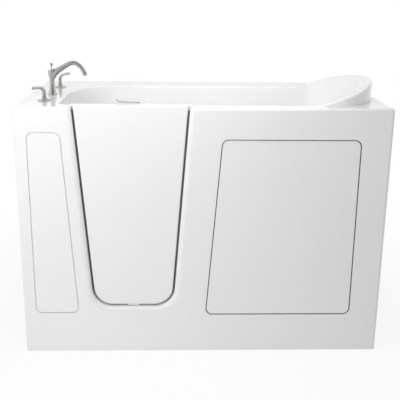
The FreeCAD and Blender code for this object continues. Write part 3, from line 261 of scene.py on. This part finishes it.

# EPDM rubber: dull grey, with a chalky bloom in patches of about 17 mm; it is painted paler towards the
# sill, a painted light on the bottom of the seal
SILL_LIGHT_Z = (0.2, 0.3)
rubber, tree, shader, where = finish("epdm_rubber", "#58595b", Roughness=0.72, IOR=1.5)
# Painted light: the seal is painted paler from 0.3 m down to 0.2 m, towards the sill.
height = add(tree, "ShaderNodeSeparateXYZ", {0: where}).outputs["Z"]
sill_light = add(tree, "ShaderNodeMapRange", {
    "Value": height, "From Min": SILL_LIGHT_Z[0], "From Max": SILL_LIGHT_Z[1], "To Min": 0.75, "To Max": 0.0,
}, interpolation_type="SMOOTHSTEP")
bloom = add(tree, "ShaderNodeTexNoise", {"Vector": where, "Scale": 60.0, "Detail": 4.0})
bloom_and_sill_light = add(tree, "ShaderNodeMath", {
    0: bloom.outputs["Fac"], 1: 0.25, 2: sill_light.outputs["Result"],
}, operation="MULTIPLY_ADD")
bloom_and_light_tone = add(tree, "ShaderNodeMix", {
    "Factor": bloom_and_sill_light.outputs[0], "A": linear("#525355"), "B": linear("#b4b5b6"),
}, data_type="RGBA")
tree.links.new(bloom_and_light_tone.outputs["Result"], shader.inputs["Base Color"])
dress(rubber, "door_gasket")

# Hinge and latch: stainless rod, brackets and straps inside the tub, and a white lever whose dog
# turns behind a stainless keeper.

# Satin stainless steel: grey metal with upright brush lines, drawn 0.7 mm wide and 33 mm long
stainless, tree, shader, where = finish("satin_stainless", "#b9bab9", Metallic=1.0, Roughness=0.3)
brush = add(tree, "ShaderNodeMapping", {"Vector": where, "Scale": (1400.0, 1400.0, 30.0)})
lines = add(tree, "ShaderNodeTexNoise", {"Vector": brush.outputs["Vector"], "Scale": 1.0, "Detail": 2.0})
spread = add(tree, "ShaderNodeMapRange", {"Value": lines.outputs["Fac"], "To Min": 0.22, "To Max": 0.42})
tree.links.new(spread.outputs["Result"], shader.inputs["Roughness"])
dress(stainless, "hinge_rod", "hinge_brackets", "hinge_straps", "strap_screws", "latch_keeper")

# Moulded white ABS: a little warmer and softer than the gel-coat, with a faint ripple of about 2.4 mm
abs_white, tree, shader, where = finish("white_abs", "#eceae4", Roughness=0.3, IOR=1.53)
flow = add(tree, "ShaderNodeTexNoise", {"Vector": where, "Scale": 420.0, "Detail": 2.0})
skin = add(tree, "ShaderNodeBump", {"Height": flow.outputs["Fac"], "Strength": 0.12, "Distance": 0.0003})
tree.links.new(skin.outputs["Normal"], shader.inputs["Normal"])
dress(abs_white, "latch_lever")

# Painted shade on the end of the latch lever: a light grey with a dull, even skin, its grain drawn 2 mm wide
# so that it shows; the grey stands in for the shadow in the gap under the lever's end.
SHADED_END_X = -0.286
lever_end_shade, tree, shader, where = finish("painted_lever_end_shade", "#b9babb", Roughness=0.6, IOR=1.5)
touch = add(tree, "ShaderNodeTexNoise", {"Vector": where, "Scale": 500.0, "Detail": 2.0})
matt_skin = add(tree, "ShaderNodeBump", {
    "Height": touch.outputs["Fac"], "Strength": 0.2, "Distance": 0.0002,
})
tree.links.new(matt_skin.outputs["Normal"], shader.inputs["Normal"])
lever = nodes["latch_lever"].data
lever.materials.append(lever_end_shade)
# Painted shade: the faces at the lever's end take the light grey.
for face in lever.polygons:
    face.material_index = 1 if face.center.x < SHADED_END_X else 0

# Faucet: cast brass spout, handles and flanges, brushed and nickel-plated; brass valves below the
# deck are joined to the spout by copper pipe.

# Brushed nickel: pale grey metal with soft streaks across the casting, drawn 1.4 mm wide and 11 mm long
nickel, tree, shader, where = finish("brushed_nickel", "#c2c2c0", Metallic=1.0, Roughness=0.3)
brush = add(tree, "ShaderNodeMapping", {"Vector": where, "Scale": (90.0, 90.0, 700.0)})
lines = add(tree, "ShaderNodeTexNoise", {"Vector": brush.outputs["Vector"], "Scale": 1.0, "Detail": 2.0})
spread = add(tree, "ShaderNodeMapRange", {"Value": lines.outputs["Fac"], "To Min": 0.26, "To Max": 0.34})
tree.links.new(spread.outputs["Result"], shader.inputs["Roughness"])
dress(nickel, "handle_bases", "front_tap_lever", "rear_tap_lever", "spout", "lift_rod")
dress(nylon, "aerator")

# Cast brass: yellow metal with a sand-cast skin of about 1 mm
brass, tree, shader, where = finish("cast_brass", "#c9a561", Metallic=1.0, Roughness=0.38)
sand = add(tree, "ShaderNodeTexNoise", {"Vector": where, "Scale": 900.0, "Detail": 3.0})
cast = add(tree, "ShaderNodeBump", {"Height": sand.outputs["Fac"], "Strength": 0.3, "Distance": 0.0003})
tree.links.new(cast.outputs["Normal"], shader.inputs["Normal"])
dress(brass, "valve_bodies", "faucet_nuts")

# Drawn copper tube: red metal dulled by thin brown oxide in patches of a few centimetres
copper, tree, shader, where = finish("drawn_copper", "#c98a68", Metallic=1.0, Roughness=0.3)
oxide = add(tree, "ShaderNodeTexNoise", {"Vector": where, "Scale": 35.0, "Detail": 4.0})
dull = add(tree, "ShaderNodeMix", {
    "Factor": oxide.outputs["Fac"], "A": linear("#d59a76"), "B": linear("#9a6248"),
}, data_type="RGBA")
tree.links.new(dull.outputs["Result"], shader.inputs["Base Color"])
dress(copper, "faucet_pipes")

# Trim screws: stainless button heads with a hex socket, 8 mm across. They hold the hinge brackets and
# the latch keeper to the wall, and the overflow plate and suction cover to their fittings.


def head(rings):
    # Each ring is a radius, a height and whether it is a hexagon, listed from the foot to the middle
    sides = 12
    points = []
    for radius, height, hexagon in rings:
        for k in range(sides):
            a = 2 * math.pi * k / sides
            r = radius * (math.cos(math.pi / 6) if hexagon and k % 2 else 1.0)
            points.append((r * math.cos(a), r * math.sin(a), height))
    faces = [list(range(sides))[::-1]]
    for i in range(len(rings) - 1):
        for k in range(sides):
            a = i * sides + k
            b = i * sides + (k + 1) % sides
            faces.append([a, b, b + sides, a + sides])
    faces.append([len(points) - sides + k for k in range(sides)])
    return points, faces


def fastener_mesh(name, shape, places):
    # One head at the origin, and a marked loose point with a direction for each place it goes to
    points, faces = shape
    mesh = bpy.data.meshes.new(name)
    mesh.from_pydata(points + [place for place, facing in places], [], faces)
    spots = [False] * len(points) + [True] * len(places)
    ways = [0.0] * 3 * len(points) + [part for place, facing in places for part in facing]
    mesh.attributes.new("spot", "BOOLEAN", "POINT").data.foreach_set("value", spots)
    mesh.attributes.new("facing", "FLOAT_VECTOR", "POINT").data.foreach_set("vector", ways)
    return mesh


def fastener_tree(name, material):
    tree, size = new_tree(name, Size=1.0)
    spot = add(tree, "GeometryNodeInputNamedAttribute", {"Name": "spot"}, data_type="BOOLEAN")
    way = add(tree, "GeometryNodeInputNamedAttribute", {"Name": "facing"}, data_type="FLOAT_VECTOR")
    parts = add(tree, "GeometryNodeSeparateGeometry", {
        "Geometry": size["Geometry"], "Selection": spot.outputs[0],
    }).outputs
    turn = add(tree, "FunctionNodeAlignRotationToVector", {"Vector": way.outputs[0]}, axis="Z").outputs[0]
    heads = add(tree, "GeometryNodeInstanceOnPoints", {
        "Points": parts["Selection"], "Instance": parts["Inverted"], "Rotation": turn, "Scale": size["Size"],
    }).outputs[0]
    close_tree(tree, heads, material)
    return tree


BRACKET_SCREW = (-0.575, -0.3005)
BRACKET_Z = (0.297, 0.363, 0.897, 0.963)
BRACKET_STEP = 0.007
KEEPER_SCREW = (-0.0098, -0.3335)
KEEPER_Z = (1.029, 1.045)
OVERFLOW_X = -0.5896
OVERFLOW_Z = 0.93
OVERFLOW_STEP = 0.019
SUCTION_X = 0.025
PUMP_Z = 0.215
button = head([
    (0.004, 0.0, 0), (0.0038, 0.0013, 0), (0.0029, 0.0022, 0), (0.0019, 0.0025, 0),
    (0.0017, 0.0024, 1), (0.0017, 0.0011, 1),
])
places = []
for z in BRACKET_Z:
    places += [((*BRACKET_SCREW, z + step), (0, 1, 0)) for step in (-BRACKET_STEP, BRACKET_STEP)]
places += [((*KEEPER_SCREW, z), (0, 1, 0)) for z in KEEPER_Z]
places += [((OVERFLOW_X, MID_Y + step, OVERFLOW_Z), (1, 0, 0)) for step in (-OVERFLOW_STEP, OVERFLOW_STEP)]
places.append(((SUCTION_X, MID_Y, PUMP_Z), (-1, 0, 0)))
tree = fastener_tree("trim_screws", stainless)
grow("trim_screws", tree, fastener_mesh("trim_screws", button, places), "tub", "stainless", False, Size=1.0)

# Drain and overflow: chromed floor fitting, pop-up stopper and overflow plate; white plastic waste
# pipe behind, with the stiff conduit of the pull wire that lifts the stopper.

# Polished chrome plate: a mirror with faint wiping marks in its roughness, about 25 mm across
chrome, tree, shader, where = finish("chrome_plate", "#d6d8da", Metallic=1.0, Roughness=0.08)
wipe = add(tree, "ShaderNodeTexNoise", {"Vector": where, "Scale": 40.0, "Detail": 3.0})
marks = add(tree, "ShaderNodeMapRange", {"Value": wipe.outputs["Fac"], "To Min": 0.05, "To Max": 0.14})
tree.links.new(marks.outputs["Result"], shader.inputs["Roughness"])
dress(chrome, "drain_body", "drain_stopper", "overflow_plate")
dress(brass, "drain_nut")

# Extruded PVC pipe: flat white with a dull extruded skin and slight handling marks, about 55 mm across
pvc, tree, shader, where = finish("pvc_pipe", "#e4e5e2", Roughness=0.42, IOR=1.53)
handled = add(tree, "ShaderNodeTexNoise", {"Vector": where, "Scale": 18.0, "Detail": 5.0})
scuff = add(tree, "ShaderNodeMix", {
    "Factor": handled.outputs["Fac"], "A": linear("#ebece9"), "B": linear("#d8d9d5"),
}, data_type="RGBA")
tree.links.new(scuff.outputs["Result"], shader.inputs["Base Color"])
dress(pvc, "drain_tee", "overflow_pipe")
dress(nylon, "drain_conduit")

# Jets and suction: plastic bodies clamped through the wall by nuts, with white trim rings, turning
# nozzles and a drilled suction cover that can't be blocked by hair.
dress(pvc, "jet_bodies", "jet_nuts", "suction_fitting", "suction_nut", "suction_pipe")
dress(abs_white, "jet_trims", "suction_cover", *["jet_nozzle_%d" % i for i in range(1, 7)])

# Pump: a moulded wet end with an enclosed impeller, bolted to a painted motor on a steel plate. It
# draws through the suction fitting in the foot well.
dress(nylon, "pump_wet_end", "pump_impeller")

# Satin stove enamel on the motor: dark grey with a fine orange peel of about 2 mm
enamel, tree, shader, where = finish("motor_enamel", "#3a3d40", Roughness=0.36, IOR=1.5)
bake = add(tree, "ShaderNodeTexNoise", {"Vector": where, "Scale": 500.0, "Detail": 1.0})
peel = add(tree, "ShaderNodeBump", {"Height": bake.outputs["Fac"], "Strength": 0.2, "Distance": 0.0003})
tree.links.new(peel.outputs["Normal"], shader.inputs["Normal"])
dress(enamel, "pump_motor")

# Hot-dip galvanised steel: blue-grey zinc in spangles about 15 mm across
zinc, tree, shader, where = finish("galvanised_steel", "#a4a9ad", Metallic=0.9, Roughness=0.42)
spangle = add(tree, "ShaderNodeTexVoronoi", {"Vector": where, "Scale": 66.0})
shade = add(tree, "ShaderNodeMix", {
    "Factor": spangle.outputs["Color"], "A": linear("#b4b9bc"), "B": linear("#8e9498"),
}, data_type="RGBA")
tree.links.new(shade.outputs["Result"], shader.inputs["Base Color"])
gloss = add(tree, "ShaderNodeMapRange", {"Value": spangle.outputs["Color"], "To Min": 0.32, "To Max": 0.55})
tree.links.new(gloss.outputs["Result"], shader.inputs["Roughness"])
dress(zinc, "pump_base")

# Pump bolts: zinc-plated hex heads with washers, 13 mm across flats. Eight close the wet end, four hold
# the base plate to the frame rails and four small ones hold the lid of the terminal box.
WET_END_X = 0.19
BOLT_CIRCLE = 0.068
BOLTS = 8
BASE_TOP = 0.126
BASE_BOLT_X = (0.272, 0.368)
RAIL_Y = (-0.3, 0.202)
LID_TOP = 0.32
LID_BOLT_X = (0.307, 0.373)
LID_STEP = 0.029
bolt = head([
    (0.009, 0.0, 0), (0.009, 0.0016, 0), (0.0075, 0.0016, 1), (0.0075, 0.006, 1), (0.0062, 0.0071, 0),
])
places = []
for i in range(BOLTS):
    angle = 2 * math.pi * (i + 0.5) / BOLTS
    y = MID_Y + BOLT_CIRCLE * math.cos(angle)
    z = PUMP_Z + BOLT_CIRCLE * math.sin(angle)
    places.append(((WET_END_X, y, z), (-1, 0, 0)))
places += [((x, y, BASE_TOP), (0, 0, 1)) for x in BASE_BOLT_X for y in RAIL_Y]
tree = fastener_tree("pump_bolts", zinc)
grow("pump_bolts", tree, fastener_mesh("pump_bolts", bolt, places), "tub", "galvanised", False, Size=1.0)
places = [((x, MID_Y + step, LID_TOP), (0, 0, 1)) for x in LID_BOLT_X for step in (-LID_STEP, LID_STEP)]
grow("lid_bolts", tree, fastener_mesh("lid_bolts", bolt, places), "tub", "galvanised", False, Size=0.5)

# Plumbing: glued white pipe carries water from the pump to the jets, and grey tube brings them air; a
# thin tube of the same grey runs from the air button.
dress(pvc, "water_manifold")

# Grey polyethylene tube: slightly waxy, clouded in patches of about 22 mm
waxy, tree, shader, where = finish("air_tube", "#c2c6c8", Roughness=0.38, IOR=1.5)
wax = add(tree, "ShaderNodeTexNoise", {"Vector": where, "Scale": 45.0, "Detail": 3.0})
cloud = add(tree, "ShaderNodeMix", {
    "Factor": wax.outputs["Fac"], "A": linear("#cbcfd0"), "B": linear("#b6babd"),
}, data_type="RGBA")
tree.links.new(cloud.outputs["Result"], shader.inputs["Base Color"])
dress(waxy, "air_manifold", "air_switch_tube")

# Air controls: a fluted air-flow knob and a domed air button in white plastic, each clamped by a nut
# on the far side.
dress(abs_white, "air_control_body", "air_control_knob", "air_button_bezel", "air_button")
dress(pvc, "control_nuts")

# Support frame: welded square tube, dipped in zinc, that carries the shell. It stands on threaded
# stainless feet with lock nuts.
dress(zinc, "support_frame")

# Weld beads: a ripple of small overlapping pools, about 4 mm apart, round the end of each tube that
# butts on another; dipped in zinc with the frame.
TUBE = 0.03
RAIL_Z = 0.107
RAIL_TOP = 0.122
RAIL_END_X = (-0.71, 0.71)
CROSS_X = 0.085
CROSS_END_Y = (-0.285, 0.187)
POST_X = (-0.725, 0.725)
POST_Y = (-0.3615, 0.3715)
POST_TOP = 1.029
SEAT_POST_X = (0.14, 0.4)
SEAT_POST_TOP = 0.482
seams = [((x, y, RAIL_Z), 0) for x in RAIL_END_X for y in RAIL_Y]
seams += [((CROSS_X, y, RAIL_Z), 1) for y in CROSS_END_Y]
seams += [((x, y, z), 2) for z in (RAIL_TOP, POST_TOP) for x in POST_X for y in POST_Y]
seams += [((x, y, z), 2) for z in (RAIL_TOP, SEAT_POST_TOP) for x in SEAT_POST_X for y in RAIL_Y]
points = []
edges = []
for centre, along in seams:
    u, v = [i for i in range(3) if i != along]
    for du, dv in ((-1, -1), (1, -1), (1, 1), (-1, 1)):
        corner = list(centre)
        corner[u] += du * TUBE / 2
        corner[v] += dv * TUBE / 2
        points.append(corner)
    n = len(points)
    edges += [(n - 4, n - 3), (n - 3, n - 2), (n - 2, n - 1), (n - 1, n - 4)]
seam_mesh = bpy.data.meshes.new("frame_welds")
seam_mesh.from_pydata(points, edges, [])
bead = {"Pitch": 0.0038, "Radius": 0.0031}
tree, size = new_tree("weld_bead", **bead)
line = add(tree, "GeometryNodeMeshToCurve", {"Mesh": size["Geometry"]}).outputs[0]
steps = add(tree, "GeometryNodeResampleCurve", {
    "Curve": line, "Length": size["Pitch"],
}, mode="LENGTH").outputs[0]
pool = add(tree, "GeometryNodeMeshUVSphere", {
    "Segments": 8, "Rings": 5, "Radius": size["Radius"],
}).outputs["Mesh"]
swell = add(tree, "FunctionNodeRandomValue", {2: 0.82, 3: 1.12, "Seed": 7}, data_type="FLOAT").outputs[1]
beads = add(tree, "GeometryNodeInstanceOnPoints", {
    "Points": steps, "Instance": pool, "Scale": swell,
}).outputs[0]
close_tree(tree, beads, zinc)
grow("frame_welds", tree, seam_mesh, "tub", "galvanised", True, **bead)
dress(stainless, "levelling_feet", "foot_nuts")

# Studio: white paper floor that keeps a faint shadow near the tub, white surroundings with a weak even
# fill, a key lamp at the front left and two weak lamps above the front edge that reach into the basin.


def seen_or_mirrored(tree):
    ray = add(tree, "ShaderNodeLightPath").outputs
    result = ray["Is Camera Ray"]
    for kind in ("Is Glossy Ray", "Is Transmission Ray"):
        result = add(tree, "ShaderNodeMath", {0: result, 1: ray[kind]}, operation="MAXIMUM").outputs[0]
    return result


WHITE = (1.0, 1.0, 1.0, 1.0)
floor_mesh = bpy.data.meshes.new("studio_floor")
form = bmesh.new()
bmesh.ops.create_grid(form, x_segments=1, y_segments=1, size=30.0)
form.to_mesh(floor_mesh)
form.free()
floor = bpy.data.objects.new("studio_floor", floor_mesh)
bpy.context.scene.collection.objects.link(floor)
paper = bpy.data.materials.new("studio_paper")
paper.use_nodes = True
tree = paper.node_tree
tree.nodes.clear()
where = add(tree, "ShaderNodeTexCoord").outputs["Object"]
reach = add(tree, "ShaderNodeVectorMath", {0: where}, operation="LENGTH").outputs["Value"]
near_tub = add(tree, "ShaderNodeMapRange", {
    "Value": reach, "From Min": 0.9, "From Max": 2.0, "To Min": 0.12, "To Max": 0.0,
}).outputs["Result"]
seen = seen_or_mirrored(tree)
matt = add(tree, "ShaderNodeBsdfDiffuse", {"Color": (0.95, 0.95, 0.95, 1.0)})
white = add(tree, "ShaderNodeEmission", {"Color": WHITE, "Strength": 1.0})
shadowed = add(tree, "ShaderNodeMixShader", {0: near_tub, 1: white.outputs[0], 2: matt.outputs[0]})
chosen = add(tree, "ShaderNodeMixShader", {0: seen, 1: matt.outputs[0], 2: shadowed.outputs[0]})
add(tree, "ShaderNodeOutputMaterial", {"Surface": chosen.outputs[0]})
floor_mesh.materials.append(paper)

world = bpy.data.worlds.new("studio")
bpy.context.scene.world = world
world.use_nodes = True
tree = world.node_tree
tree.nodes.clear()
seen = seen_or_mirrored(tree)
fill = add(tree, "ShaderNodeBackground", {"Color": WHITE, "Strength": 0.46})

# To the camera the surroundings are plain white. Reflections show a white room that darkens towards the
# viewer, except at the left, where the key lamp stands; the lamps themselves are not mirrored.
direction = add(tree, "ShaderNodeTexCoord").outputs["Generated"]
toward = add(tree, "ShaderNodeSeparateXYZ", {0: direction}).outputs
room = add(tree, "ShaderNodeMapRange", {
    "Value": toward["Y"], "From Min": -0.95, "From Max": -0.2, "To Min": 0.1, "To Max": 1.0,
}, interpolation_type="SMOOTHSTEP").outputs["Result"]
left = add(tree, "ShaderNodeMapRange", {
    "Value": toward["X"], "From Min": -0.6, "From Max": 0.05, "To Min": 1.0, "To Max": 0.1,
}, interpolation_type="SMOOTHSTEP").outputs["Result"]
walls = add(tree, "ShaderNodeMath", {0: room, 1: left}, operation="MAXIMUM").outputs[0]
backdrop = add(tree, "ShaderNodeLightPath").outputs["Is Camera Ray"]
shown = add(tree, "ShaderNodeMath", {0: walls, 1: backdrop}, operation="MAXIMUM").outputs[0]
white = add(tree, "ShaderNodeBackground", {"Color": WHITE, "Strength": shown})
chosen = add(tree, "ShaderNodeMixShader", {0: seen, 1: fill.outputs[0], 2: white.outputs[0]})
add(tree, "ShaderNodeOutputWorld", {"Surface": chosen.outputs[0]})


def softbox(name, place, aim, size, power):
    lamp = bpy.data.lights.new(name, "AREA")
    lamp.shape = "RECTANGLE"
    lamp.size = size[0]
    lamp.size_y = size[1]
    lamp.energy = power
    holder = bpy.data.objects.new(name, lamp)
    holder.location = place
    holder.visible_camera = False
    holder.visible_glossy = False
    holder.rotation_euler = (Vector(aim) - Vector(place)).to_track_quat("-Z", "Y").to_euler()
    bpy.context.scene.collection.objects.link(holder)


softbox("key", (-1.25, -1.8, 1.6), (-0.15, -0.4, 1.0), (1.0, 0.7), 17.9)
softbox("basin", (-0.1, -0.47, 1.75), (-0.1, 0.24, 0.95), (1.6, 0.35), 3.5)
softbox("corner", (0.15, -0.45, 1.65), (-0.6, 0.1, 0.9), (0.6, 0.4), 2.4)

# Camera at the photograph's viewing angle, fitted to the tub's outline and seams. Its place is in
# metres; its angles are in degrees and turn it sideways, down and about its own axis.
EYE = (-0.110, -3.2085, 1.527)
YAW = -1.91
PITCH = -16.67
ROLL = 0.66
camera = bpy.data.cameras.new("camera")
camera.lens = 64.2
camera.sensor_width = 36.0
viewer = bpy.data.objects.new("camera", camera)
place = Matrix.Translation(EYE)
yaw = Matrix.Rotation(math.radians(YAW), 4, "Z")
pitch = Matrix.Rotation(math.radians(90.0 + PITCH), 4, "X")
roll = Matrix.Rotation(math.radians(ROLL), 4, "Z")
viewer.matrix_world = place @ yaw @ pitch @ roll
bpy.context.scene.collection.objects.link(viewer)
bpy.context.scene.camera = viewer
bpy.context.scene.view_settings.view_transform = "Standard"
